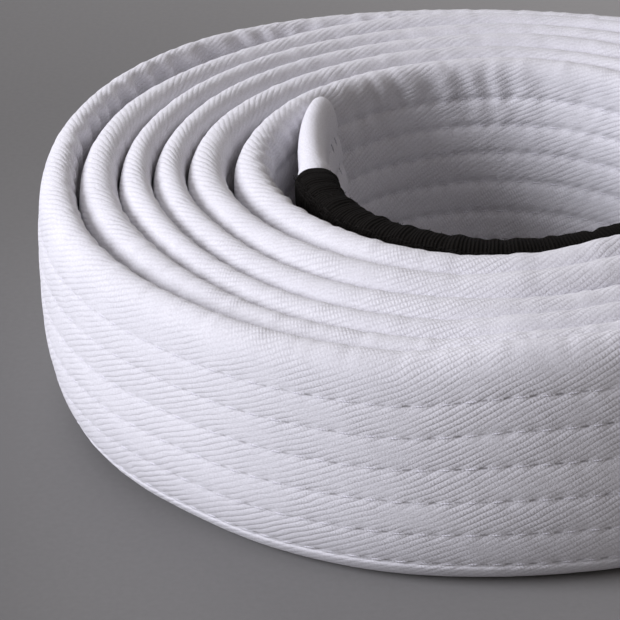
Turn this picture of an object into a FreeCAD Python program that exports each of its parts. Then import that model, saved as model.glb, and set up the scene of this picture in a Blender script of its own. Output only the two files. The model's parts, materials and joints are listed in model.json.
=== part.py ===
import FreeCAD, Part
import math
import os

# Martial arts belt with a rank bar, rolled into a flat spiral that stands on its edge.
# Frame: +Z up along the belt's width, origin at the bottom centre of the whole roll.
# The belt's centreline is a chain of tangent arcs. An arc is named by its winding angle:
# the direction, in degrees and counted on through every turn, of the belt's outward side.
# Left is 180, near is 270, right is 360, far is 450, then left again at 540, and so on.

# ---- driving dimensions (mm and degrees) ----
BELT_WIDTH = 40.0
BELT_THICK = 4.9
COVER_THICK = 0.7
PLY_COUNT = 3
PLY_GAP = 0.05
PLY_EDGE_GAP = 0.2

STITCH_ROWS = 6
STITCH_FIRST = 4.4
STITCH_SPACING = 5.6
THREAD_WIDTH = 0.6
THREAD_PROUD = 0.15
THREAD_LIFT = 0.02

BAR_LENGTH = 100.0
BAR_THICK = 0.8
BAR_CLEAR = 0.3
BAR_HEM = 3.0

TIP_LENGTH = 31.0
TIP_RADIUS = 140.0
TIP_ANGLE = 180.0
TIP_CURL_RADIUS = 30.6
TIP_CURL_END = 270.0

# winding angle and the spiral's mean radius there, from the eye to the outer end
WINDING = (
    (270.0, 40.0),
    (360.0, 40.0),
    (375.0, 38.4),
    (420.0, 38.4),
    (450.0, 42.5),
    (540.0, 43.5),
    (630.0, 44.6),
    (810.0, 48.4),
    (1530.0, 60.9),
    (2250.0, 71.9),
    (2430.0, 74.7),
    (2525.0, 74.7),
)
OVAL = 0.9
LOOSE_GAP = 3.5
LOOSE_START = 2230.0
LOOSE_END = 2330.0
ARC_STEP = 30.0
OUTER_END = 2525.0

# hinge stations of the free outer end, as winding angles
TAIL_HINGES = (2448.0, 2463.0, 2478.0, 2493.0, 2508.0)
# hinge stations of the free inner end, as lengths back from the bar's end
TIP_HINGES = (1.0, 17.0)
CUT_GAP = 0.2

END_STITCH_SETBACKS = (4.0, 7.0)
END_STITCH_MARGIN = 3.0
ROWS_END_CLEAR = 2.0

# working allowances (mm)
OVERSHOOT = 1.0
TINY = 1e-6


def direction(angle):
    return FreeCAD.Vector(math.cos(math.radians(angle)), math.sin(math.radians(angle)), 0)


def mean_radius(angle):
    for (a0, r0), (a1, r1) in zip(WINDING, WINDING[1:]):
        if angle <= a1:
            return r0 + (r1 - r0) * (angle - a0) / (a1 - a0)
    return WINDING[-1][1]


def curl_radius(angle):
    """Radius of curvature of the centreline where its outward side faces angle.

    The roll is an oval: its reach in a direction is the mean radius less OVAL times the
    cosine of twice the angle, which adds three times that to the radius of curvature.
    """
    if angle < TIP_CURL_END:
        return TIP_CURL_RADIUS
    radius = mean_radius(angle) + 3 * OVAL * math.cos(math.radians(2 * angle))
    span = math.radians(LOOSE_END - LOOSE_START)
    part = (angle - LOOSE_START) / (LOOSE_END - LOOSE_START)
    if 0 < part < 1:
        radius += LOOSE_GAP / 2 * (1 - math.cos(math.pi * part))
        radius += LOOSE_GAP / 2 * (math.pi / span) ** 2 * math.cos(math.pi * part)
    elif part >= 1:
        radius += LOOSE_GAP
    return radius


class Span:
    """One circular stretch of the centreline, with its place along the belt."""

    def __init__(self, start, angle0, angle1, radius, s0):
        self.centre = start - direction(angle0) * radius
        self.angle0, self.angle1, self.radius = angle0, angle1, radius
        self.s0 = s0
        self.s1 = s0 + radius * math.radians(angle1 - angle0)

    def angle(self, s):
        return self.angle0 + math.degrees((s - self.s0) / self.radius)

    def point(self, s, offset):
        return self.centre + direction(self.angle(s)) * (self.radius + offset)

    def edge(self, s0, s1, offset):
        ends = self.point(s0, offset), self.point(s1, offset)
        return Part.Arc(ends[0], self.point((s0 + s1) / 2, offset), ends[1]).toShape()


def centreline():
    angle = TIP_ANGLE - math.degrees(TIP_LENGTH / TIP_RADIUS)
    spans = [Span(FreeCAD.Vector(), angle, TIP_ANGLE, TIP_RADIUS, 0.0)]
    angle = TIP_ANGLE
    while angle < OUTER_END - TINY:
        following = min(ARC_STEP * (math.floor(angle / ARC_STEP + TINY) + 1), OUTER_END)
        last = spans[-1]
        radius = curl_radius((angle + following) / 2)
        spans.append(Span(last.point(last.s1, 0), angle, following, radius, last.s1))
        angle = following
    return spans


SPANS = centreline()
BELT_LENGTH = SPANS[-1].s1


def span_at(s):
    for span in SPANS:
        if s <= span.s1 + TINY:
            return span
    return SPANS[-1]


def station(angle):
    """Length along the belt, from its inner end, at a winding angle."""
    for span in SPANS[1:]:
        if angle <= span.angle1:
            return span.s0 + span.radius * math.radians(angle - span.angle0)
    return BELT_LENGTH


def band(s0, s1, off0, off1, z0, z1):
    """Upright strip along the centreline from s0 to s1, between two offsets from it."""
    stretches = []
    for span in SPANS:
        a, b = max(s0, span.s0), min(s1, span.s1)
        if b - a > TINY:
            stretches.append((span, a, b))
    outside = [span.edge(a, b, off1) for span, a, b in stretches]
    inside = [span.edge(a, b, off0) for span, a, b in reversed(stretches)]
    first, last = stretches[0], stretches[-1]
    ends = [
        Part.LineSegment(last[0].point(s1, off1), last[0].point(s1, off0)).toShape(),
        Part.LineSegment(first[0].point(s0, off0), first[0].point(s0, off1)).toShape(),
    ]
    wire = Part.Wire(outside + [ends[0]] + inside + [ends[1]])
    face = Part.Face(wire)
    face.translate(FreeCAD.Vector(0, 0, z0))
    return face.extrude(FreeCAD.Vector(0, 0, z1 - z0))


HALF = BELT_THICK / 2
HINGE_OFFSET = HALF + THREAD_LIFT + THREAD_PROUD
INNER_HALF = HALF - COVER_THICK
BAR_S0 = TIP_LENGTH
BAR_S1 = TIP_LENGTH + BAR_LENGTH
# the sleeve squeezes the belt's edges in, so that the bar is no wider than the belt
BAR_SQUEEZE = BAR_THICK


def sleeve_wall(s0, s1, closed_start, closed_end):
    """The folded twill cover of one stretch: a flat tube, closed where the belt ends."""
    pieces = []
    for a, b, squeeze in (
        (s0, min(s1, BAR_S0), 0.0),
        (max(s0, BAR_S0), min(s1, BAR_S1), BAR_SQUEEZE),
        (max(s0, BAR_S1), s1, 0.0),
    ):
        if b - a > TINY:
            pieces.append(band(a, b, -HALF, HALF, squeeze, BELT_WIDTH - squeeze))
    inset = BAR_SQUEEZE if s1 > BAR_S0 and s0 < BAR_S1 else 0.0
    start = s0 + COVER_THICK if closed_start else s0 - OVERSHOOT
    end = s1 - COVER_THICK if closed_end else s1 + OVERSHOOT
    start, end = max(start, 0.0), min(end, BELT_LENGTH)
    hollow = band(start, end, -INNER_HALF, INNER_HALF,
                  COVER_THICK + inset, BELT_WIDTH - COVER_THICK - inset)
    wall = pieces[0]
    if len(pieces) > 1:
        wall = wall.fuse(pieces[1:])
    return wall.cut(hollow)


def core_plies(s0, s1, closed_start, closed_end):
    thick = (2 * INNER_HALF - PLY_GAP * (PLY_COUNT + 1)) / PLY_COUNT
    low = COVER_THICK + BAR_SQUEEZE + PLY_EDGE_GAP
    start = s0 + (COVER_THICK + PLY_EDGE_GAP if closed_start else 0.0)
    end = s1 - (COVER_THICK + PLY_EDGE_GAP if closed_end else 0.0)
    plies = []
    for k in range(PLY_COUNT):
        off = -INNER_HALF + PLY_GAP + k * (thick + PLY_GAP)
        plies.append(band(start, end, off, off + thick, low, BELT_WIDTH - low))
    return plies


def thread_rows(s0, s1, outer_face):
    """Six parallel rows of stitching on one face of the belt, clear of the closed ends."""
    off0 = HALF + THREAD_LIFT
    off1 = off0 + THREAD_PROUD
    if not outer_face:
        off0, off1 = -off1, -off0
    rows = []
    for k in range(STITCH_ROWS):
        z = STITCH_FIRST + STITCH_SPACING * k
        rows.append(band(s0, s1, off0, off1, z - THREAD_WIDTH / 2, z + THREAD_WIDTH / 2))
    return Part.makeCompound(rows)


def cross_stitches(stations, off_face):
    """Upright rows of stitching on both faces, at the given places along the belt."""
    rows = []
    for s in stations:
        for sign in (-1, 1):
            off0 = sign * off_face
            off1 = sign * (off_face + THREAD_PROUD)
            rows.append(band(s - THREAD_WIDTH / 2, s + THREAD_WIDTH / 2,
                             min(off0, off1), max(off0, off1),
                             END_STITCH_MARGIN, BELT_WIDTH - END_STITCH_MARGIN))
    return Part.makeCompound(rows)


def bar_sleeve():
    near = HALF + BAR_CLEAR
    far = near + BAR_THICK
    outside = band(BAR_S0, BAR_S1, -far, far, 0.0, BELT_WIDTH)
    inside = band(BAR_S0 - OVERSHOOT, BAR_S1 + OVERSHOOT, -near, near, BAR_THICK, BELT_WIDTH - BAR_THICK)
    return outside.cut(inside)


def build():
    nodes = {}
    cuts = [TIP_LENGTH - TIP_HINGES[1], TIP_LENGTH - TIP_HINGES[0]]
    cuts += [station(a) for a in TAIL_HINGES]
    names = ["tip_2", "tip_1", "coil"] + ["tail_%d" % (k + 1) for k in range(len(TAIL_HINGES))]
    limits = [0.0] + cuts + [BELT_LENGTH]
    gap = CUT_GAP / 2
    end_rows = max(END_STITCH_SETBACKS) + ROWS_END_CLEAR
    for k, name in enumerate(names):
        first, last = k == 0, k == len(names) - 1
        s0 = limits[k] + (0.0 if first else gap)
        s1 = limits[k + 1] - (0.0 if last else gap)
        nodes["cover_" + name] = sleeve_wall(s0, s1, first, last)
        for n, ply in enumerate(core_plies(s0, s1, first, last)):
            nodes["core_ply_%d_%s" % (n + 1, name)] = ply
        t0 = s0 + (end_rows if first else 0.0)
        t1 = s1 - (end_rows if last else 0.0)
        nodes["needle_rows_" + name] = thread_rows(t0, t1, True)
        nodes["bobbin_rows_" + name] = thread_rows(t0, t1, False)
    nodes["rank_bar"] = bar_sleeve()
    face = HALF + THREAD_LIFT
    bar_face = HALF + BAR_CLEAR + BAR_THICK + THREAD_LIFT
    nodes["rank_bar_hem_stitches"] = cross_stitches(
        (BAR_S0 + BAR_HEM, BAR_S1 - BAR_HEM), bar_face)
    nodes["inner_end_stitches"] = cross_stitches(END_STITCH_SETBACKS, face)
    nodes["outer_end_stitches"] = cross_stitches(
        [BELT_LENGTH - s for s in END_STITCH_SETBACKS], face)
    return nodes, cuts


NODES, CUTS = build()
box = FreeCAD.BoundBox()
for shape in NODES.values():
    box.add(shape.BoundBox)
SHIFT = FreeCAD.Vector(-box.Center.x, -box.Center.y, -box.ZMin)

os.makedirs("parts", exist_ok=True)
for name, shape in NODES.items():
    shape.translate(SHIFT)
    if not shape.isValid():
        print("invalid", name)
    shape.exportStep("parts/%s.step" % name)

print("belt length %.1f mm, %d nodes" % (BELT_LENGTH, len(NODES)))
print("size %.2f x %.2f x %.2f mm" % (box.XLength, box.YLength, box.ZLength))
print("shift %.4f %.4f" % (SHIFT.x, SHIFT.y))
# the belt opens about the face that the end turns towards, so no cut face meets another
for s in CUTS:
    side = -1 if s < BAR_S0 else 1
    p = span_at(s).point(s, side * HINGE_OFFSET) + SHIFT
    print("hinge at %.1f mm: %.4f %.4f" % (s, p.x, p.y))
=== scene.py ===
import json
import math

import bpy
import numpy as np
from mathutils import Matrix, Vector


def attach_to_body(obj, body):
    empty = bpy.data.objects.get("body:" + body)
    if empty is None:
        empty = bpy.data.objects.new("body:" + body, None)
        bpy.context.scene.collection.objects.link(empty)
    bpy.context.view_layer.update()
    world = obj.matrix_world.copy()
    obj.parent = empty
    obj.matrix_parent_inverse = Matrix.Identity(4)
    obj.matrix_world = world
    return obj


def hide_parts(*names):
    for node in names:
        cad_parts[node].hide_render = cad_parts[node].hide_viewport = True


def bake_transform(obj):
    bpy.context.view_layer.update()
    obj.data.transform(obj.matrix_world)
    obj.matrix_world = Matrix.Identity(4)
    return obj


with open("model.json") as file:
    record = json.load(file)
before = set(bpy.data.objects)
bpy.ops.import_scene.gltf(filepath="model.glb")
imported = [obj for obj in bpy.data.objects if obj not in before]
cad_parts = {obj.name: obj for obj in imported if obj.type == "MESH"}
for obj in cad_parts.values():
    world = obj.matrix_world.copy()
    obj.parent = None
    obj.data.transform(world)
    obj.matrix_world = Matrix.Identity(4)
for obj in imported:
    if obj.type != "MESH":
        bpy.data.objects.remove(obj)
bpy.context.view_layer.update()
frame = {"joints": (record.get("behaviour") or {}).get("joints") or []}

# A rolled martial arts belt. Lengths below are in millimetres until place() turns them into metres.
MM = 0.001

# ---- the belt's centreline, as in the CAD model ----
BELT_WIDTH = 40.0
MIDDLE = BELT_WIDTH / 2
TIP_LENGTH = 31.0
TIP_RADIUS = 140.0
TIP_ANGLE = 180.0
TIP_CURL_RADIUS = 30.6
TIP_CURL_END = 270.0
WINDING_ANGLES = (270, 360, 375, 420, 450, 540, 630, 810, 1530, 2250, 2430, 2525)
WINDING_RADII = (40.0, 40.0, 38.4, 38.4, 42.5, 43.5, 44.6, 48.4, 60.9, 71.9, 74.7, 74.7)
OVAL = 0.9
LOOSE_GAP = 3.5
LOOSE_START = 2230.0
LOOSE_END = 2330.0
ARC_STEP = 30.0
OUTER_END = 2525.0
TAIL_HINGES = (2448.0, 2463.0, 2478.0, 2493.0, 2508.0)
TIP_HINGES = (1.0, 17.0)
HINGE_OFFSET = 2.62

BAR_START = TIP_LENGTH
BAR_END = TIP_LENGTH + 100.0
BAR_NEAR = 2.75
BAR_FAR = 3.55
STITCH_ROWS = 6
STITCH_PITCH = 3.6
STITCH_FIRST = 4.4
ROW_GAP = 5.6
TINY = 1e-6


def curl_radius(angle):
    if angle < TIP_CURL_END:
        return TIP_CURL_RADIUS
    radius = float(np.interp(angle, WINDING_ANGLES, WINDING_RADII))
    radius += 3 * OVAL * math.cos(math.radians(2 * angle))
    span = math.radians(LOOSE_END - LOOSE_START)
    part = (angle - LOOSE_START) / (LOOSE_END - LOOSE_START)
    if 0 < part < 1:
        radius += LOOSE_GAP / 2 * (1 - math.cos(math.pi * part))
        radius += LOOSE_GAP / 2 * (math.pi / span) ** 2 * math.cos(math.pi * part)
    elif part >= 1:
        radius += LOOSE_GAP
    return radius


def unit(degrees):
    turn = np.radians(degrees)
    return np.stack([np.cos(turn), np.sin(turn)], -1)


class Centreline:
    """Tangent arcs, one after another: the same line that the CAD strips are built on."""

    def __init__(self):
        first = TIP_ANGLE - math.degrees(TIP_LENGTH / TIP_RADIUS)
        rows = [(first, TIP_ANGLE, TIP_RADIUS)]
        angle = TIP_ANGLE
        while angle < OUTER_END - TINY:
            following = min(ARC_STEP * (math.floor(angle / ARC_STEP + TINY) + 1), OUTER_END)
            rows.append((angle, following, curl_radius((angle + following) / 2)))
            angle = following
        self.angle0 = np.array([r[0] for r in rows])
        self.angle1 = np.array([r[1] for r in rows])
        self.radius = np.array([r[2] for r in rows])
        lengths = self.radius * np.radians(self.angle1 - self.angle0)
        self.s1 = np.cumsum(lengths)
        self.s0 = self.s1 - lengths
        self.length = float(self.s1[-1])
        start = np.zeros(2)
        centres = []
        for a0, a1, radius in rows:
            centre = start - unit(a0) * radius
            centres.append(centre)
            start = centre + unit(a1) * radius
        self.centre = np.array(centres)

    def angle(self, s):
        k = np.clip(np.searchsorted(self.s1, s), 0, len(self.s1) - 1)
        return self.angle0[k] + np.degrees((s - self.s0[k]) / self.radius[k]), k

    def points(self, s, offset=0.0):
        """Points on the line, moved outward by offset, and the outward directions there."""
        s = np.asarray(s, float)
        angle, k = self.angle(s)
        outward = unit(angle)
        reach = self.radius[k] + offset
        return self.centre[k] + outward * reach[..., None], outward

    def station(self, angle):
        k = int(np.searchsorted(self.angle1[1:], angle)) + 1
        return float(self.s0[k] + self.radius[k] * math.radians(angle - self.angle0[k]))


LINE = Centreline()
LENGTH = LINE.length
joints = {j["name"]: j for j in frame["joints"]}
first_tail_hinge = LINE.station(TAIL_HINGES[0])
hinge_point = LINE.points([first_tail_hinge], HINGE_OFFSET)[0][0]
SHIFT = np.array(joints["outer_end_peel_1"]["pos_m"][:2]) / MM - hinge_point


def waves(x, lengths, seed):
    """Smooth seeded noise along a line, from about -1 to 1."""
    rng = np.random.RandomState(seed)
    total = np.zeros_like(np.asarray(x, float))
    for length in lengths:
        total += np.sin(2 * np.pi * (x / length + rng.rand()))
    return total / math.sqrt(len(lengths))


def smooth(x, lo, hi):
    t = np.clip((np.asarray(x, float) - lo) / (hi - lo), 0, 1)
    return t * t * (3 - 2 * t)


def hump(x, middle, width):
    """A rounded bump, 1 high."""
    return np.exp(-(((x - middle) / width) ** 2))


def eased(x, knots, values):
    """Values at the knots, joined by smooth steps."""
    knots, values = np.asarray(knots, float), np.asarray(values, float)
    k = np.clip(np.searchsorted(knots, x) - 1, 0, len(knots) - 2)
    t = np.clip((x - knots[k]) / (knots[k + 1] - knots[k]), 0, 1)
    return values[k] + (values[k + 1] - values[k]) * t * t * (3 - 2 * t)


# how far each turn bulges outward, and how much its top edge stands up, by winding angle;
# each turn passes the left side, then the near side, then the far side half a turn later
BULGES = (
    (180, 0.0), (450, 0.0), (540, -0.3), (630, 0.0), (810, 0.0),
    (900, 0.6), (990, 0.0), (1170, 0.0), (1260, 1.1), (1336, 0.5), (1364, 0.0),
    (1620, 0.0), (1696, 1.0), (1730, 0.0), (1890, 0.0), (1980, 1.1), (2020, 1.1), (2056, 1.5),
    (2084, 0.0), (2160, 0.0), (2220, -0.5), (2285, 1.1), (2340, -1.3), (2380, 0.4), (2410, 1.5),
    (2436, 0.3), (2460, 0.0), (2525, 0.0))
HEIGHTS = (
    (167, 1.1), (180, 0.2), (230, -0.6), (270, -1.3), (330, -1.3), (380, 0.0), (540, 0.0),
    (616, -0.3), (630, 0.3), (650, 1.6), (720, 0.0), (900, 0.0), (976, -0.5), (990, 0.5), (1010, 1.5),
    (1080, 0.0), (1260, 0.0), (1336, -1.6), (1350, -1.5), (1370, -0.4), (1440, 0.0), (1620, 0.0),
    (1696, -2.2), (1710, -1.0), (1730, 0.0), (1980, 0.0), (2056, -2.5), (2070, -0.9), (2090, 0.0),
    (2190, -1.2), (2250, -1.2), (2290, 0.3), (2340, 0.0), (2414, -1.2), (2430, 0.9), (2448, 1.8),
    (2480, 1.0), (2525, 0.0))


def path(s, offset=0.0):
    """The centreline as it lies in the rolled belt, moved outward by offset."""
    angle, _ = LINE.angle(np.asarray(s, float))
    return LINE.points(s, offset + eased(angle, *zip(*BULGES)))


# ---- how thick the padded belt can be before it meets the next turn ----
FULL_HALF = 2.8        # half thickness where nothing lies against the belt
LOOSE_HALF = 3.5       # the most, where the turns lie loose
THINNEST_HALF = 1.9
TIP_HALF = 2.55
SQUEEZED_HALF = 2.42   # inside the rank bar
SKIN_GAP = 0.04
BAR_GAP = 0.25
SAMPLE = 2.0
STRAIGHT_ACROSS = 2.5  # a turn counts as a neighbour within this much of the outward line
OTHER_TURN = 60        # and at least this far away along the belt
OPEN_SIDE = 50.0       # more room than this means that nothing is there


def free_room():
    """Half thickness on the outward and inward side, at stations along the belt."""
    s = np.arange(0, LENGTH, SAMPLE)
    p, n = path(s)
    t = np.stack([-n[:, 1], n[:, 0]], -1)
    d = p[None] - p[:, None]
    along = np.einsum("ijk,ik->ij", d, n)
    across = np.abs(np.einsum("ijk,ik->ij", d, t))
    near = (across < STRAIGHT_ACROSS) & (np.abs(s[None] - s[:, None]) > OTHER_TURN)
    by_bar = (s > BAR_START - 2) & (s < BAR_END + 2)
    share = np.where(by_bar[None, :], 1.0, 0.5)
    lost = np.where(by_bar[None, :], BAR_FAR + BAR_GAP, 0.0)
    room = np.abs(along) * share - lost - SKIN_GAP
    halves = []
    for this_side in (along > 0, along < 0):
        least = np.where(near & this_side, room, 2 * OPEN_SIDE).min(1)
        halves.append(np.clip(least, THINNEST_HALF, np.where(least > OPEN_SIDE, FULL_HALF, LOOSE_HALF)))
    return s, halves[0], halves[1]


def softened(values, reach=4):
    """Running average over reach samples to each side, never more than the value itself."""
    kernel = np.hanning(2 * reach + 1)
    kernel /= kernel.sum()
    return np.minimum(values, np.convolve(np.pad(values, reach, mode="edge"), kernel, "valid"))


ROOM_S, room_out, room_in = free_room()
ROOM = {True: softened(room_out), False: softened(room_in)}


def under_bar(s):
    """1 inside the rank bar, 0 outside it, with a short run-in."""
    return smooth(s, BAR_START - 3, BAR_START) * (1 - smooth(s, BAR_END, BAR_END + 3))


def half_thickness(s, outward):
    room = np.interp(s, ROOM_S, ROOM[outward])
    room = room * (1 + 0.02 * waves(s, (23, 37, 61), 3 if outward else 4) - 0.02)
    tip = 1 - smooth(s, TIP_LENGTH - 6, TIP_LENGTH)
    room = room * (1 - tip) + np.minimum(room, TIP_HALF) * tip
    squeezed = under_bar(s)
    return room * (1 - squeezed) + np.minimum(room, SQUEEZED_HALF) * squeezed


# ---- how the belt stands: how far the roll's faces draw in at the top and the foot, and its leans ----
ROLL_RADIUS = 80.0
BARREL_TOP = 1.6
BARREL_BOTTOM = 5.2
WOBBLE = 0.22
ROW_RISE = 1.0
TIP_LEAN = 0.16
TIP_OUT = 2.4
TURN_LEAN = 0.10
TURN_LEAN_AT = (512, 24)   # winding angle, and how far to each side of it


def place(s, offset, z):
    """Positions in metres of points at a station, an outward offset and a height."""
    s = np.asarray(s, float)
    # the free inner end leans: its top edge stands out and its foot comes in
    loose = 1 - smooth(s, 2, TIP_LENGTH + 16)
    offset = offset + TIP_OUT * (1 - smooth(s, 4, TIP_LENGTH + 8))
    offset = offset - TIP_LEAN * (BELT_WIDTH - z) * loose
    angle, _ = LINE.angle(s)
    # the innermost turn leans the same way where it passes the free end
    offset = offset - TURN_LEAN * (BELT_WIDTH - z) * hump(angle, *TURN_LEAN_AT)
    p, _ = path(s, offset)
    p = p + SHIFT
    lift = eased(angle, *zip(*HEIGHTS)) + 0.18 * waves(s, (61, 97, 143), 11)
    height = z + lift * smooth(z, 0, BELT_WIDTH) + ROW_RISE * np.sin(np.pi * z / BELT_WIDTH)
    level = (z - MIDDLE) / MIDDLE
    tuck = BARREL_TOP * np.clip(level, 0, 1) ** 3 + BARREL_BOTTOM * np.clip(-level, 0, 1) ** 3
    reach = np.linalg.norm(p, axis=-1)
    p = p * (1 - tuck / ROLL_RADIUS)[..., None]
    dx = WOBBLE * np.sin(p[..., 1] / 9.1 + 1.3) * np.sin(p[..., 0] / 13.7 + z / 31.0)
    dy = WOBBLE * np.sin(p[..., 0] / 10.3 + 0.4) * np.sin(p[..., 1] / 12.1 - z / 27.0)
    fade = smooth(reach, 30, 40)
    return np.stack([p[..., 0] + dx * fade, p[..., 1] + dy * fade, np.maximum(height, 0.0)], -1) * MM


# ---- the belt's cross-section ----
EDGE = 4.0
ROUND_STEPS = 15
EDGE_POWER = 0.96
VALLEY = 0.13
VALLEY_WIDTH = 0.9
HOLE_DEPTH = 0.12
INNER_VALLEY = 2.6
PUCKER_LENGTH = 6.1
CRIMP_LENGTH = 4.1
CROWN = 0.10           # how much fuller the face is at mid height
RIB_PITCH = 1.05
ROW_POINTS = (-2.1, -1.4, -0.85, -0.4, 0.0, 0.4, 0.85, 1.4, 2.1, ROW_GAP / 2)

row_heights = STITCH_FIRST + ROW_GAP * np.arange(STITCH_ROWS)
face_z = [EDGE, BELT_WIDTH - EDGE] + [row + d for row in row_heights for d in ROW_POINTS]
face_z = np.array(sorted(z for z in face_z if EDGE <= z <= BELT_WIDTH - EDGE))
bend = np.radians(180.0 * np.arange(1, ROUND_STEPS + 1) / (ROUND_STEPS + 1))
arc_side = np.sign(np.cos(bend)) * np.abs(np.cos(bend)) ** EDGE_POWER
arc_rise = np.sin(bend) ** EDGE_POWER
SECTION_SIDE = np.concatenate([np.ones(len(face_z)), arc_side, -np.ones(len(face_z)), -arc_side])
SECTION_Z = np.concatenate([
    face_z, BELT_WIDTH - EDGE + EDGE * arc_rise, face_z[::-1], EDGE - EDGE * arc_rise])
ring_y = SECTION_SIDE * FULL_HALF
steps = np.hypot(np.diff(np.append(ring_y, ring_y[0])), np.diff(np.append(SECTION_Z, SECTION_Z[0])))
# SECTION_W runs round the section; the weave's ribs close up on themselves there
SECTION_W = np.concatenate([[0], np.cumsum(steps)])
ribs_round = round(SECTION_W[-1] / RIB_PITCH)
SECTION_W *= ribs_round * RIB_PITCH / SECTION_W[-1]
on_face = smooth(np.abs(SECTION_SIDE), 0.6, 0.95)
row_pull = sum(hump(SECTION_Z, row, VALLEY_WIDTH) for row in row_heights)
row_pull *= on_face * np.where(SECTION_SIDE > 0, 1.0, INNER_VALLEY)


def at_hole(s, pitch=STITCH_PITCH):
    """1 at each needle hole, 0 half way between two."""
    return 0.5 + 0.5 * np.cos(2 * np.pi * s / pitch)


def row_valley(s, pull):
    """How far the quilting draws the face in: deepest at each needle hole."""
    ease = 1 + 0.22 * waves(s, (9.7, 17.3, 31.0), 21)
    return pull * (VALLEY * ease + HOLE_DEPTH * at_hole(s) ** 2)


# depth, winding angle, and how far it reaches to each side of that angle
PUCKERS = ((1.55, 2306, 28), (0.55, 2248, 20), (0.50, 468, 26), (0.35, 525, 25))
CRIMPS = ((1.45, 540, 40), (0.30, 2345, 35), (0.16, 900, 50), (0.16, 1260, 50), (0.16, 1620, 50),
          (0.16, 1980, 50))


def pucker_size(s):
    """Soft puckers, where the loose turns slacken on the inner side."""
    angle, _ = LINE.angle(s)
    size = 0.10 + 0.16 * np.clip(waves(s, (47, 83, 139), 31), 0, 2)
    for depth, at, width in PUCKERS:
        size += depth * hump(angle, at, width)
    return size * (1 - under_bar(s)) * smooth(s, 20, 60)


def crimp_size(s):
    """Small tight folds along the inner edge, where a turn bends most."""
    angle, _ = LINE.angle(s)
    return sum(depth * hump(angle, at, width) for depth, at, width in CRIMPS)


def gathers(s, z):
    """How far the cloth on the inner side is drawn in, by soft puckers and by small folds."""
    from_top = BELT_WIDTH - z
    phase = s / PUCKER_LENGTH + 0.25 * waves(s, (26, 41, 67), 41)
    ripple = 0.5 + 0.5 * np.sin(2 * np.pi * phase + 0.22 * from_top)
    # deepest under the top edge, again a little lower, and near the foot
    below = from_top - 4.4 + 2.6 * smooth(s, 1500, 1800)
    depth = hump(below, 0.0, 5.0) + 0.30 * hump(below, 6.5, 2.8) + 0.5 * hump(z, 3.5, 4.0)
    fold_phase = s / CRIMP_LENGTH + 0.4 * waves(s, (19, 33, 51), 43)
    fold = (0.5 + 0.5 * np.sin(2 * np.pi * fold_phase + 0.5 * from_top)) * crimp_size(s)
    return pucker_size(s) * ripple * depth + fold * hump(from_top, 2.0, 3.0)


def crown_at(z):
    return CROWN * (1 - ((z - MIDDLE) / MIDDLE) ** 2)


def belt_grid(s):
    """Every point of the padded belt: one cross-section at each station of s."""
    s = s[:, None]
    side, z, pull = SECTION_SIDE[None], SECTION_Z[None], row_pull[None]
    out, into = half_thickness(s, True), half_thickness(s, False)
    middle, half = (out - into) / 2, (out + into) / 2
    squeezed = under_bar(s)
    crown = crown_at(z) * (np.abs(side) > 0.5)
    draw = row_valley(s, pull) * (1 - 0.6 * squeezed)
    inner = smooth(-side, -0.2, 0.7)
    pucker = gathers(s, z) * inner
    fine = 0.035 * waves(s + 0.8 * z, (3.1, 4.7, 7.9), 51)
    reach = half + (crown - CROWN) - draw + fine - pucker * np.abs(side)
    # the folded ends are drawn in
    last = np.minimum(s, LENGTH - s)
    blunt = np.sqrt(np.clip(1 - (1 - np.clip(last / 1.7, 0, 1)) ** 2, 0.03, 1))
    offset = middle * blunt + side * reach * blunt
    inset = 0.8 * squeezed + 0.9 * (1 - blunt) + 0.25 * (1 - smooth(last, 0, 6))
    height = MIDDLE + (z - MIDDLE) * (1 - inset / MIDDLE)
    height = height - pucker * 0.5 * smooth(z, 36, 40)
    height = height + 0.09 * waves(s, (2.7, 4.1, 6.3), 53) * smooth(z, 35, 40)
    return place(s + np.zeros_like(z), offset, height)


ENDS = (0.0, 0.12, 0.4, 0.85, 1.4, 1.9)    # stations on the rounded end
ENDS_DONE = 2.4
SEEN_STEP = STITCH_PITCH / 4
HIDDEN_STEP = 1.3
INNER_TURN_END = 330
HIDDEN_END = 1650


def stations():
    """Where the cross-sections stand: closer together where the belt can be seen."""
    seen_in = np.arange(ENDS_DONE, INNER_TURN_END, SEEN_STEP)
    hidden = np.arange(seen_in[-1] + HIDDEN_STEP, HIDDEN_END, HIDDEN_STEP)
    seen_out = np.arange(hidden[-1] + SEEN_STEP, LENGTH - ENDS_DONE, SEEN_STEP)
    return np.concatenate([ENDS, seen_in, hidden, seen_out, [LENGTH - e for e in ENDS[::-1]]])


STATIONS = stations()


# ---- meshes ----
def new_mesh(name, verts, faces, uvs=None, normals=None, material=None):
    mesh = bpy.data.meshes.new(name)
    mesh.from_pydata(verts.tolist(), [], faces)
    mesh.polygons.foreach_set("use_smooth", np.ones(len(mesh.polygons), bool))
    for label, values in (uvs or {}).items():
        layer = mesh.uv_layers.new(name=label)
        layer.data.foreach_set("uv", values.astype(np.float32).ravel())
    if normals is not None:
        mesh.normals_split_custom_set_from_vertices(normals.tolist())
    obj = bpy.data.objects.new(name, mesh)
    bpy.context.scene.collection.objects.link(obj)
    if material is not None:
        mesh.materials.append(material)
    return obj


def grid_normals(grid):
    along = np.gradient(grid, axis=0)
    around = np.roll(grid, -1, axis=1) - np.roll(grid, 1, axis=1)
    normal = np.cross(along, around)
    size = np.linalg.norm(normal, axis=2, keepdims=True)
    return normal / np.maximum(size, 1e-12)


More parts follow.
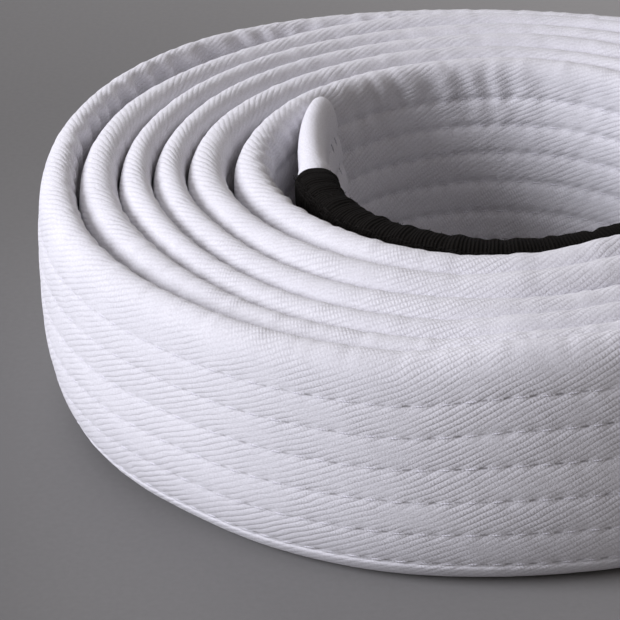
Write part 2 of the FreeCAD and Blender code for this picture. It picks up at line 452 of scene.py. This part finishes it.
def ring_faces(columns, count, caps=True):
    """Quads of a tube of cross-sections, and with caps a fan at each end round two added points."""
    i = np.arange(columns - 1)[:, None] * count
    j = np.arange(count)[None]
    k = (j + 1) % count
    faces = np.stack([i + j, i + count + j, i + count + k, i + k], -1).reshape(-1, 4).tolist()
    if caps:
        first, last = columns * count, columns * count + 1
        ring = range(count)
        faces += [[first, a, (a + 1) % count] for a in ring]
        base = (columns - 1) * count
        faces += [[last, base + (a + 1) % count, base + a] for a in ring]
    return faces


def section_cap(base, flip):
    """Closes an end of the belt: rungs from the outward face to the inward one, from foot to top."""
    faces_up, half = len(face_z), ROUND_STEPS // 2
    top, inward, foot = faces_up, faces_up + ROUND_STEPS, 2 * faces_up + ROUND_STEPS
    left = [foot + half + 1 + k for k in range(half)] + list(range(faces_up))
    left += [top + k for k in range(half)]
    right = [foot + half - 1 - k for k in range(half)]
    right += [inward + faces_up - 1 - k for k in range(faces_up)]
    right += [top + ROUND_STEPS - 1 - k for k in range(half)]
    cap = [[foot + half, left[0], right[0]]]
    cap += [[a, b, c, d] for a, b, c, d in zip(left, left[1:], right[1:], right)]
    cap += [[left[-1], top + half, right[-1]]]
    return [[base + a for a in (face[::-1] if flip else face)] for face in cap]


def quad_uv(u, v):
    """Corner coordinates of a grid of quads, from the coordinates of its lines."""
    i, j = np.arange(len(u) - 1)[:, None], np.arange(len(v) - 1)[None]
    corners = [(i, j), (i + 1, j), (i + 1, j + 1), (i, j + 1)]
    return np.stack([np.stack([u[a] + 0 * j, v[b] + 0 * i], -1) for a, b in corners], 2).reshape(-1, 2)


def tube_piece(name, grid, s, w, z, normals, material):
    """A closed piece of the belt: its cross-sections, capped, with the weave's coordinates."""
    columns, count = grid.shape[:2]
    verts = grid.reshape(-1, 3)
    caps = section_cap(0, False) + section_cap((columns - 1) * count, True)
    faces = ring_faces(columns, count, caps=False) + caps
    turned = normals.reshape(-1, 3)
    weave, rows = quad_uv(s, w), quad_uv(s, np.append(z, z[0]))
    corners = sum(len(face) for face in caps)
    cap = np.zeros((corners, 2))
    cap[:corners // 2, 0], cap[corners // 2:, 0] = s[0], s[-1]
    uvs = {"weave": np.concatenate([weave, cap]), "rows": np.concatenate([rows, cap])}
    return new_mesh(name, verts, faces, uvs, turned, material)


# ---- materials ----
class Nodes:
    """A short way to write a node tree."""

    def __init__(self, name):
        self.material = bpy.data.materials.new(name)
        self.material.use_nodes = True
        self.tree = self.material.node_tree
        self.bsdf = self.tree.nodes["Principled BSDF"]

    def link(self, value, socket):
        if isinstance(value, bpy.types.NodeSocket):
            self.tree.links.new(value, socket)
        else:
            socket.default_value = value

    def math(self, operation, a, b=None, clamp=False):
        node = self.tree.nodes.new("ShaderNodeMath")
        node.operation = operation
        node.use_clamp = clamp
        self.link(a, node.inputs[0])
        if b is not None:
            self.link(b, node.inputs[1])
        return node.outputs[0]

    def times(self, a, b):
        return self.math("MULTIPLY", a, b)

    def plus(self, a, b):
        return self.math("ADD", a, b)

    def minus(self, a, b, clamp=False):
        return self.math("SUBTRACT", a, b, clamp)

    def over(self, a, b, clamp=False):
        return self.math("DIVIDE", a, b, clamp)

    def split(self, vector):
        node = self.tree.nodes.new("ShaderNodeSeparateXYZ")
        self.tree.links.new(vector, node.inputs[0])
        return node.outputs

    def uv(self, layer):
        """Both coordinates of a layer, and the two as one vector."""
        node = self.tree.nodes.new("ShaderNodeUVMap")
        node.uv_map = layer
        u, v, _ = self.split(node.outputs[0])
        return u, v, node.outputs[0]

    def noise(self, vector, scale, detail=2.0, rough=0.5):
        node = self.tree.nodes.new("ShaderNodeTexNoise")
        self.link(vector, node.inputs["Vector"])
        node.inputs["Scale"].default_value = scale
        node.inputs["Detail"].default_value = detail
        node.inputs["Roughness"].default_value = rough
        return node.outputs[0]

    def scaled(self, vector, factors):
        node = self.tree.nodes.new("ShaderNodeVectorMath")
        node.operation = "MULTIPLY"
        self.link(vector, node.inputs[0])
        node.inputs[1].default_value = factors
        return node.outputs[0]

    def coords(self):
        return self.tree.nodes.new("ShaderNodeTexCoord").outputs["Object"]

    def ramp(self, value, *stops):
        node = self.tree.nodes.new("ShaderNodeValToRGB")
        self.link(value, node.inputs[0])
        elements = node.color_ramp.elements
        while len(elements) < len(stops):
            elements.new(0.5)
        for element, (place_at, colour) in zip(elements, stops):
            element.position = place_at
            element.color = (*colour, 1)
        return node.outputs[0]

    def mix(self, factor, a, b, mode="MIX"):
        node = self.tree.nodes.new("ShaderNodeMix")
        node.data_type = "RGBA"
        node.blend_type = mode
        self.link(factor, node.inputs[0])
        self.link(a, node.inputs[6])
        self.link(b, node.inputs[7])
        return node.outputs[2]

    def bump(self, height, distance, strength):
        node = self.tree.nodes.new("ShaderNodeBump")
        node.inputs["Strength"].default_value = strength
        node.inputs["Distance"].default_value = distance
        self.link(height, node.inputs["Height"])
        return node.outputs[0]

    def finish(self, colour, normal, roughness, sheen=0.0, sheen_rough=0.5, gloss=0.25):
        self.link(colour, self.bsdf.inputs["Base Color"])
        self.link(normal, self.bsdf.inputs["Normal"])
        self.link(roughness, self.bsdf.inputs["Roughness"])
        self.bsdf.inputs["Sheen Weight"].default_value = sheen
        self.bsdf.inputs["Sheen Roughness"].default_value = sheen_rough
        self.bsdf.inputs["Specular IOR Level"].default_value = gloss
        return self.material


# stations where the painted shade of the needle holes starts faint and becomes full
HOLE_SHADE_FAINT = LINE.station(2380.0)
HOLE_SHADE_FULL = LINE.station(2425.0)
RIB_SLOPE = math.tan(math.radians(27))
YARN_ALONG = 0.62
YARN_ROUND = 0.95
HOLE_WIDE = 0.30
HOLE_LONG = 0.75
WORN_END = 8.0


def needle_holes(n, w):
    """Short slits at the needle holes between one stitch and the next: 1 in a hole, 0 beside it. The
    mask dents the bump and paints shade into the holes.
    """
    along, height, vector = n.uv("rows")
    row = n.over(n.minus(height, STITCH_FIRST - ROW_GAP), ROW_GAP)
    from_row = n.times(n.math("ABSOLUTE", n.minus(row, n.math("ROUND", row))), ROW_GAP)
    place_in_stitch = n.math("FRACT", n.plus(n.over(along, STITCH_PITCH), 0.5))
    from_hole = n.times(n.math("ABSOLUTE", n.minus(place_in_stitch, 0.5)), STITCH_PITCH)
    inside = n.times(n.math("LESS_THAN", row, STITCH_ROWS + 0.3), n.math("GREATER_THAN", row, 0.6))
    slit = n.minus(1.0, n.over(from_row, HOLE_WIDE), clamp=True)
    dash = n.minus(1.0, n.math("POWER", n.over(from_hole, HOLE_LONG), 3.0), clamp=True)
    # the painted hole shade is patchy, and faint before the belt comes round to the near side
    hole_shade_strength = n.over(n.minus(along, HOLE_SHADE_FAINT), HOLE_SHADE_FULL - HOLE_SHADE_FAINT, clamp=True)
    uneven = n.ramp(n.noise(n.scaled(vector, (0.21, 0.9, 1)), 1.0, 2.0),
                    (0.38, (0.25, 0.25, 0.25)), (0.58, (1.0, 1.0, 1.0)))
    hole_shade_strength = n.times(n.plus(0.22, n.times(hole_shade_strength, 0.78)), uneven)
    # and the bobbin side has fainter ones
    outer_side = n.plus(0.12, n.times(n.math("LESS_THAN", w, SECTION_W[-1] / 2), 0.88))
    return n.times(n.times(slit, dash), n.times(n.times(inside, hole_shade_strength), outer_side))


def white_twill():
    n = Nodes("white_twill")
    s, w, weave = n.uv("weave")
    # slanting ribs, faint in places
    drift = n.times(n.minus(n.noise(n.scaled(weave, (0.12, 0.25, 1)), 1.0), 0.5), 0.9)
    phase = n.plus(n.over(n.minus(w, n.times(s, RIB_SLOPE)), RIB_PITCH), drift)
    rib = n.math("POWER", n.math("ABSOLUTE", n.math("SINE", n.times(phase, math.pi))), 0.7)
    clear = n.ramp(n.noise(n.scaled(weave, (0.10, 0.16, 1)), 1.0, 2.0),
                   (0.36, (0.30, 0.30, 0.30)), (0.60, (1.0, 1.0, 1.0)))
    # the free inner end is worn smooth
    unworn = n.over(n.minus(s, TIP_LENGTH), WORN_END, clamp=True)
    clear = n.times(clear, n.plus(0.30, n.times(unworn, 0.70)))
    yarn_phase = n.plus(n.times(s, 1 / YARN_ALONG), n.times(w, 1 / YARN_ROUND))
    yarn = n.times(n.plus(n.math("SINE", n.times(yarn_phase, 2 * math.pi)), 1.0), 0.5)
    ridge = n.times(rib, n.plus(0.62, n.times(yarn, 0.38)))
    fuzz = n.noise(weave, 3.6, 3.0, 0.7)
    hole = needle_holes(n, w)
    relief = n.minus(n.plus(n.times(ridge, clear), n.times(fuzz, 0.9)), n.times(hole, 1.5))
    patch = n.noise(n.scaled(weave, (0.05, 0.11, 1)), 1.0, 3.0)
    base = n.ramp(patch, (0.3, (0.86, 0.855, 0.90)), (0.7, (0.895, 0.89, 0.93)))
    # painted shade: the rib grooves are painted darker than the ribs
    groove_shaded_colour = n.mix(n.times(n.minus(1.0, rib), clear), base, (0.77, 0.76, 0.80, 1))
    speck = n.ramp(n.noise(weave, 2.6, 3.0, 0.75),
                   (0.35, (0.88, 0.875, 0.87)), (0.62, (1.03, 1.03, 1.03)))
    groove_shaded_colour = n.mix(1.0, groove_shaded_colour, speck, "MULTIPLY")
    # painted shade: the needle holes are painted near black, as if shade fell in them
    shade = n.mix(n.times(hole, 0.85), groove_shaded_colour, (0.16, 0.145, 0.15, 1))
    return n.finish(shade, n.bump(relief, 0.00018, 0.60), 0.9, 0.12, 0.5)


def white_thread():
    n = Nodes("white_thread")
    s, w, vector = n.uv("weave")
    twist = n.math("SINE", n.times(n.plus(n.times(s, 2.2), w), 2 * math.pi))
    relief = n.plus(n.times(twist, 0.5), n.noise(vector, 6.0, 2.0))
    # painted shade: the thread is painted darker in the grooves of its twist and lighter on its ridges
    colour = n.ramp(n.plus(n.times(twist, 0.25), 0.5),
                    (0.2, (0.70, 0.69, 0.74)), (0.8, (0.80, 0.79, 0.85)))
    return n.finish(colour, n.bump(relief, 0.00005, 0.8), 0.75, 0.2)


def black_cotton():
    n = Nodes("black_cotton")
    s, _, vector = n.uv("weave")
    drift = n.times(n.noise(n.scaled(vector, (0.4, 0.15, 1)), 1.0), 1.2)
    cord = n.math("SINE", n.times(n.plus(n.over(s, 0.62), drift), 2 * math.pi))
    cord = n.times(n.plus(cord, 1.0), 0.5)
    fuzz = n.noise(vector, 3.5, 4.0, 0.7)
    relief = n.plus(n.times(cord, 0.7), fuzz)
    # painted shade and highlight: darker between the cross ribs and lighter on their crests; the fuzz
    # adds the cotton's uneven tone
    shade = n.plus(n.times(cord, 0.35), n.times(fuzz, 0.65))
    colour = n.ramp(shade, (0.3, (0.0020, 0.0016, 0.0012)), (0.75, (0.0095, 0.0075, 0.006)))
    return n.finish(colour, n.bump(relief, 0.00030, 0.9), 0.92, 0.0, 0.4, 0.12)


def black_thread():
    n = Nodes("black_thread")
    fuzz = n.noise(n.uv("weave")[2], 5.0, 3.0)
    colour = n.ramp(fuzz, (0.3, (0.004, 0.0035, 0.003)), (0.8, (0.030, 0.026, 0.022)))
    return n.finish(colour, n.bump(fuzz, 0.00005, 0.7), 0.8, 0.0)


def floor_material():
    """Plain and pale grey; its tone changes slowly and at random, and it is painted with shade: darker
    towards the left and the front.
    """
    n = Nodes("studio_floor")
    grain = n.noise(n.coords(), 900.0, 2.0)
    drift = n.noise(n.coords(), 3.0, 2.0)
    level = n.plus(n.times(grain, 0.1), n.times(drift, 0.9))
    x, y, _ = n.split(n.coords())
    # painted shade: the floor is painted darker towards the left and the front
    across = n.plus(n.times(x, 4.5), n.times(y, 1.2))
    colour = n.ramp(n.plus(level, across), (0.1, (0.175, 0.172, 0.168)), (0.9, (0.375, 0.369, 0.362)))
    return n.finish(colour, n.bump(grain, 0.0001, 0.2), 0.9)


TWILL = white_twill()
THREAD = white_thread()
BLACK = black_cotton()
BLACK_THREAD = black_thread()

# ---- the belt, in pieces that meet on the rigid stretches between hinges ----
tail_stations = [LINE.station(a) for a in TAIL_HINGES]
tip_stations = [TIP_LENGTH - t for t in TIP_HINGES]
BEND_REACH = 5.0       # two points this far to each side of a hinge are placed, and not used; nothing bends
CUT_BEFORE_TAIL = 9.0
CUT_AFTER_TIP = 4.0
tail_cuts = [tail_stations[0] - CUT_BEFORE_TAIL]
tail_cuts += [(a + b) / 2 for a, b in zip(tail_stations, tail_stations[1:])]
tail_cuts += [LENGTH]
tip_cuts = [0.0, (tip_stations[0] + tip_stations[1]) / 2, TIP_LENGTH + CUT_AFTER_TIP]

# the CAD body that it stands for, first station, last station, the two bodies it bends between, and
# the station of the hinge
PIECES = [
    ("tip_2", tip_cuts[0], tip_cuts[1], ("tip_1", "tip_2"), tip_stations[1]),
    ("tip_1", tip_cuts[1], tip_cuts[2], ("coil", "tip_1"), tip_stations[0]),
    ("coil", tip_cuts[2], tail_cuts[0], None, None),
]
tail_bodies = ["coil"] + ["tail_%d" % (k + 1) for k in range(len(tail_stations))]
for k, hinge in enumerate(tail_stations):
    pair = (tail_bodies[k], tail_bodies[k + 1])
    PIECES.append((tail_bodies[k + 1], tail_cuts[k], tail_cuts[k + 1], pair, hinge))


def attach(obj, piece):
    """Rides on the coil; a piece at a hinge only has its transform baked into its mesh, and does not
    bend.
    """
    name, _, _, pair, hinge = piece
    if pair is None:
        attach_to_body(obj, name)
        return
    reach = -BEND_REACH if hinge < BAR_END else BEND_REACH
    start, end = place(np.array([hinge - reach, hinge + reach]), 0.0, np.array([MIDDLE, MIDDLE]))
    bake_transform(obj)


for cut in sorted({p[1] for p in PIECES} | {p[2] for p in PIECES}):
    STATIONS[np.argmin(np.abs(STATIONS - cut))] = cut
GRID = belt_grid(STATIONS)
NORMALS = grid_normals(GRID)


def column(s):
    return int(np.argmin(np.abs(STATIONS - s)))


for piece in PIECES:
    name = piece[0]
    i0, i1 = column(piece[1]), column(piece[2])
    rows = slice(i0, i1 + 1)
    belt = tube_piece("belt_" + name, GRID[rows], STATIONS[rows], SECTION_W, SECTION_Z,
                      NORMALS[rows], TWILL)
    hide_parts("cover_" + name, *["core_ply_%d_%s" % (n, name) for n in (1, 2, 3)])
    attach(belt, piece)


# ---- threads ----
THREAD_RADIUS = 0.13
THREAD_SIDES = 5
END_ROWS = (4.0, 7.0)          # the closing rows, measured from the belt's end
ROWS_END_CLEAR = 9.0
FINE = 0.6
COARSE = 1.2
OUTER_TURN_START = 1900.0
CLOSING_MARGIN = 3.0
CLOSING_PITCH = 3.0
CLOSING_SINK = 0.12


def unit_rows(vectors):
    return vectors / np.linalg.norm(vectors, axis=1, keepdims=True)


def thread_tube(line, outward, upward, radius, sides=THREAD_SIDES):
    """Cross-sections of a thin tube along a line of points in metres."""
    turns = 2 * np.pi * np.arange(sides) / sides
    ring = (np.cos(turns)[None, :, None] * outward[:, None]
            + np.sin(turns)[None, :, None] * upward[:, None])
    return line[:, None] + ring * radius * MM


def join_tubes(name, tubes, material):
    verts, faces, uvs = [], [], []
    base = 0
    for s, grid in tubes:
        columns, sides = grid.shape[:2]
        v = np.concatenate([grid.reshape(-1, 3), grid[0].mean(0)[None], grid[-1].mean(0)[None]])
        own = ring_faces(columns, sides)
        faces += [[base + a for a in face] for face in own]
        quads = len(own) - 2 * sides
        i, j = np.divmod(np.arange(quads), sides)
        corner = np.stack([
            np.stack([s[i], j / sides], -1), np.stack([s[i + 1], j / sides], -1),
            np.stack([s[i + 1], (j + 1) / sides], -1), np.stack([s[i], (j + 1) / sides], -1)], 1)
        uvs.append(corner.reshape(-1, 2))
        uvs.append(np.tile([[s[0], 0.5]], (3 * sides, 1)))
        uvs.append(np.tile([[s[-1], 0.5]], (3 * sides, 1)))
        verts.append(v)
        base += len(v)
    return new_mesh(name, np.concatenate(verts), faces, {"weave": np.concatenate(uvs)}, None, material)


def row_thread(s, row, outward_side):
    """One row of stitches: the thread lies in its valley and dives at each needle hole."""
    side, pull = (1.0, 1.0) if outward_side else (-1.0, INNER_VALLEY)
    squeezed = under_bar(s)
    crown = crown_at(row) - CROWN
    surface = half_thickness(s, outward_side) + crown - row_valley(s, pull) * (1 - 0.6 * squeezed)
    if not outward_side:
        surface = surface - gathers(s, row)
    lift = -0.02 - 0.42 * at_hole(s) ** 2 - 0.25 * squeezed
    height = np.full_like(s, row)
    line = place(s, side * (surface + lift), height)
    outward = unit_rows(place(s, side * (surface + lift + 1.0), height) - line)
    upward = np.tile([0.0, 0.0, 1.0], (len(s), 1))
    return thread_tube(line, outward, upward * side, THREAD_RADIUS)


for piece in PIECES:
    name, s0, s1 = piece[:3]
    s0, s1 = max(s0, ROWS_END_CLEAR), min(s1, LENGTH - ROWS_END_CLEAR)
    for label, outward_side in (("needle", True), ("bobbin", False)):
        if name == "coil":
            # finer on the innermost turn's inward face and the outermost turns' outward face
            change, before, after = (OUTER_TURN_START, COARSE, FINE) if outward_side else (
                float(INNER_TURN_END), FINE, COARSE)
            first = np.arange(s0, change, before)
            s = np.concatenate([first, np.arange(first[-1] + FINE, s1, after), [s1]])
        else:
            s = np.linspace(s0, s1, max(3, int((s1 - s0) / FINE)))
        tubes = [(s, row_thread(s, row, outward_side)) for row in row_heights]
        threads = join_tubes("stitches_%s_%s" % (label, name), tubes, THREAD)
        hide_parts("%s_rows_%s" % (label, name))
        attach(threads, piece)


def upright_row(station, base_half, margin, outward_side, pitch=CLOSING_PITCH, radius=THREAD_RADIUS):
    """A row of stitches across the belt at one station."""
    z = np.linspace(margin, BELT_WIDTH - margin, 70)
    side = 1.0 if outward_side else -1.0
    offset = side * (base_half - 0.06 - 0.30 * at_hole(z, pitch) ** 3)
    s = np.full_like(z, station)
    line = place(s, offset, z)
    outward = unit_rows(place(s, offset + side, z) - line)
    beyond = unit_rows(place(s + 0.5, offset, z) - line)
    return z, thread_tube(line, outward, beyond * side, radius)


for node, stations_at, piece in (
        ("inner_end_stitches", END_ROWS, PIECES[0]),
        ("outer_end_stitches", [LENGTH - s for s in END_ROWS], PIECES[-1])):
    tubes = []
    for at in stations_at:
        for outward_side in (True, False):
            half = float(half_thickness(np.array([at]), outward_side)[0])
            tubes.append(upright_row(at, half - CLOSING_SINK, CLOSING_MARGIN, outward_side))
    rows = join_tubes("closing_" + node, tubes, THREAD)
    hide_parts(node)
    attach(rows, piece)

# ---- the rank bar: a black sleeve with turned hems, and its loose fibres ----
BAR_EDGE = 3.1
BAR_POWER = 0.8
BAR_FACE_POINTS = 34
HEM_ROLL = 0.8         # how far the sleeve's folded end rolls round
HEM_AT = 3.0           # the hem stitches' distance from the sleeve's end
HEM_SINK = 0.24
HEM_MARGIN = 3.4
HEM_PITCH = 2.6
HEM_RADIUS = 0.16
FIBRES = 2600
FIBRE_POINTS = 4


def bar_section():
    face = np.linspace(BAR_EDGE, BELT_WIDTH - BAR_EDGE, BAR_FACE_POINTS)
    turn = np.radians(np.linspace(0, 180, 19)[1:-1])
    side = np.sign(np.cos(turn)) * np.abs(np.cos(turn)) ** BAR_POWER
    rise = np.sin(turn) ** BAR_POWER
    flat = np.ones(BAR_FACE_POINTS)
    sides = np.concatenate([flat, side, -flat, -side])
    heights = np.concatenate([
        face, BELT_WIDTH - BAR_EDGE + BAR_EDGE * rise, face[::-1], BAR_EDGE - BAR_EDGE * rise])
    return sides, heights


BAR_SIDE, BAR_Z = bar_section()


def bar_surface(s, half, inset):
    """Points of the sleeve at stations s, at an offset half and drawn in by inset at its edges."""
    s = s[:, None]
    half, inset = half[:, None], inset[:, None]
    side, z = BAR_SIDE[None], BAR_Z[None]
    # only the outside is uneven
    uneven = 0.16 * waves(s + 0.35 * z, (7.3, 11.9, 19.0), 61) + 0.11 * waves(s, (2.3, 3.7), 62)
    reach = half + uneven * (half > BAR_NEAR + 0.3)
    height = MIDDLE + (z - MIDDLE) * (1 - inset / MIDDLE)
    height = height + 0.18 * waves(s, (3.1, 5.1, 8.7), 63) * smooth(z, 36, 40) * (inset < 0.5)
    return place(s + 0 * z, side * (reach - 0.12), height)


def bar_rings():
    """Outside from end to end, rolled over each hem, and back along the inside."""
    roll = np.radians([30, 60, 90, 120, 150])
    mid, thick = (BAR_FAR + BAR_NEAR) / 2, (BAR_FAR - BAR_NEAR) / 2
    first, last = BAR_START + HEM_ROLL, BAR_END - HEM_ROLL
    out_s = np.linspace(first, last, 220)
    hem = 0.10 * (hump(out_s, BAR_START + HEM_AT, 0.5) + hump(out_s, BAR_END - HEM_AT, 0.5))
    s = [out_s, last + HEM_ROLL * np.sin(roll), out_s[::-4], first - HEM_ROLL * np.sin(roll)]
    half = [np.full(len(out_s), BAR_FAR) - hem, mid + thick * np.cos(roll),
            np.full(len(s[2]), BAR_NEAR), mid - thick * np.cos(roll)]
    s, half = np.concatenate(s), np.concatenate(half)
    inset = (BAR_FAR - half) * 0.95
    return s, half, inset


bar_s, bar_half, bar_inset = bar_rings()
bar_grid = bar_surface(bar_s, bar_half, bar_inset)
columns, count = bar_grid.shape[:2]
i, j = np.arange(columns)[:, None], np.arange(count)[None]
i2, j2 = (i + 1) % columns, (j + 1) % count
bar_faces = np.stack([i * count + j, i2 * count + j, i2 * count + j2, i * count + j2], -1).reshape(-1, 4)
bar_w = np.append(0, np.cumsum(np.hypot(
    np.diff(np.append(BAR_SIDE, BAR_SIDE[0])) * BAR_FAR, np.diff(np.append(BAR_Z, BAR_Z[0])))))
run = np.append(0, np.cumsum(np.abs(np.diff(np.append(bar_s, bar_s[0])))))
bar = new_mesh("rank_bar_sleeve", bar_grid.reshape(-1, 3), bar_faces.tolist(),
               {"weave": quad_uv(run, bar_w)}, None, BLACK)
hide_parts("rank_bar")
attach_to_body(bar, "coil")

hem_tubes = []
for at in (BAR_START + HEM_AT, BAR_END - HEM_AT):
    for outward_side in (True, False):
        hem_tubes.append(upright_row(
            at, BAR_FAR - HEM_SINK, HEM_MARGIN, outward_side, HEM_PITCH, HEM_RADIUS))
hems = join_tubes("rank_bar_hem_threads", hem_tubes, BLACK_THREAD)
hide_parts("rank_bar_hem_stitches")
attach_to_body(hems, "coil")


def fibres():
    """Short curled ends of cotton standing off the bar's top, longer beside the coil."""
    rng = np.random.RandomState(7)
    t = np.linspace(0, 1, FIBRE_POINTS)
    tubes = []
    for k in range(FIBRES):
        s = rng.uniform(BAR_START + 1.5, BAR_END - 1.5)
        by_the_coil = k % 2 == 0
        turn = math.radians(rng.uniform(12, 44) if by_the_coil else rng.uniform(-10, 190))
        side, rise = math.cos(turn), math.sin(turn)
        length = rng.uniform(0.7, 1.9) if by_the_coil else rng.uniform(0.2, 0.8)
        lean, bow = rng.uniform(-0.8, 0.8), rng.uniform(-0.5, 0.5)
        away, up = (0.62, 0.80) if by_the_coil else (side, rise)
        offset = side * (BAR_FAR - 0.2) + away * length * t * (1 - 0.3 * t)
        z = BELT_WIDTH - BAR_EDGE + (BAR_EDGE - 0.15) * rise + up * length * t * (1 - 0.3 * t)
        z = z + 0.4 * bow * t * t
        along = s + lean * length * t + bow * t * t * length
        outward = unit_rows(np.tile([side, 0.3, rise], (FIBRE_POINTS, 1)))
        upward = unit_rows(np.cross(outward, [0.3, 1.0, 0.1]))
        line = place(along, offset, z)
        tubes.append((along, thread_tube(line, outward, upward, rng.uniform(0.025, 0.05), 3)))
    return join_tubes("rank_bar_fibres", tubes, BLACK_THREAD)


fuzz = fibres()
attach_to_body(fuzz, "coil")

# ---- floor, light and camera ----
FLOOR_HALF = 3.0
FLOOR_DROP = 0.0002
AIM = (0, 0, 0.02)
CAMERA_AT = (-0.0328, -0.4505, 0.2261)
CAMERA_TILT = 64.53
CAMERA_ROLL = -1.72
CAMERA_LENS = 168.3
CAMERA_SENSOR = 36

floor_mesh = bpy.data.meshes.new("studio_floor")
floor_corners = [(x * FLOOR_HALF, y * FLOOR_HALF, 0) for x, y in ((-1, -1), (1, -1), (1, 1), (-1, 1))]
floor_mesh.from_pydata(floor_corners, [], [(0, 1, 2, 3)])
floor_mesh.materials.append(floor_material())
floor = bpy.data.objects.new("studio_floor", floor_mesh)
floor.location.z = -FLOOR_DROP
bpy.context.scene.collection.objects.link(floor)


def area_light(name, location, size, power, colour):
    data = bpy.data.lights.new(name, "AREA")
    data.shape = "DISK"
    data.size = size
    data.energy = power
    data.color = colour
    light = bpy.data.objects.new(name, data)
    light.location = location
    light.rotation_euler = (Vector(AIM) - Vector(location)).to_track_quat("-Z", "Y").to_euler()
    bpy.context.scene.collection.objects.link(light)


area_light("key", (-0.79, -0.30, 0.42), 0.50, 8.3, (0.905, 0.91, 1.0))
area_light("back", (-0.35, 0.85, 0.85), 0.8, 4.6, (0.96, 0.96, 1.0))

world = bpy.data.worlds.new("studio")
world.use_nodes = True
background = world.node_tree.nodes["Background"]
background.inputs["Color"].default_value = (1.0, 0.92, 0.88, 1)
background.inputs["Strength"].default_value = 0.20
bpy.context.scene.world = world
bpy.context.scene.view_settings.view_transform = "Standard"

camera_data = bpy.data.cameras.new("camera")
camera_data.sensor_width = CAMERA_SENSOR
camera_data.lens = CAMERA_LENS
camera_data.clip_start = 0.01
camera = bpy.data.objects.new("camera", camera_data)
camera.matrix_world = (
    Matrix.Translation(CAMERA_AT)
    @ Matrix.Rotation(math.radians(CAMERA_TILT), 4, "X")
    @ Matrix.Rotation(math.radians(CAMERA_ROLL), 4, "Z"))
bpy.context.scene.collection.objects.link(camera)
bpy.context.scene.camera = camera
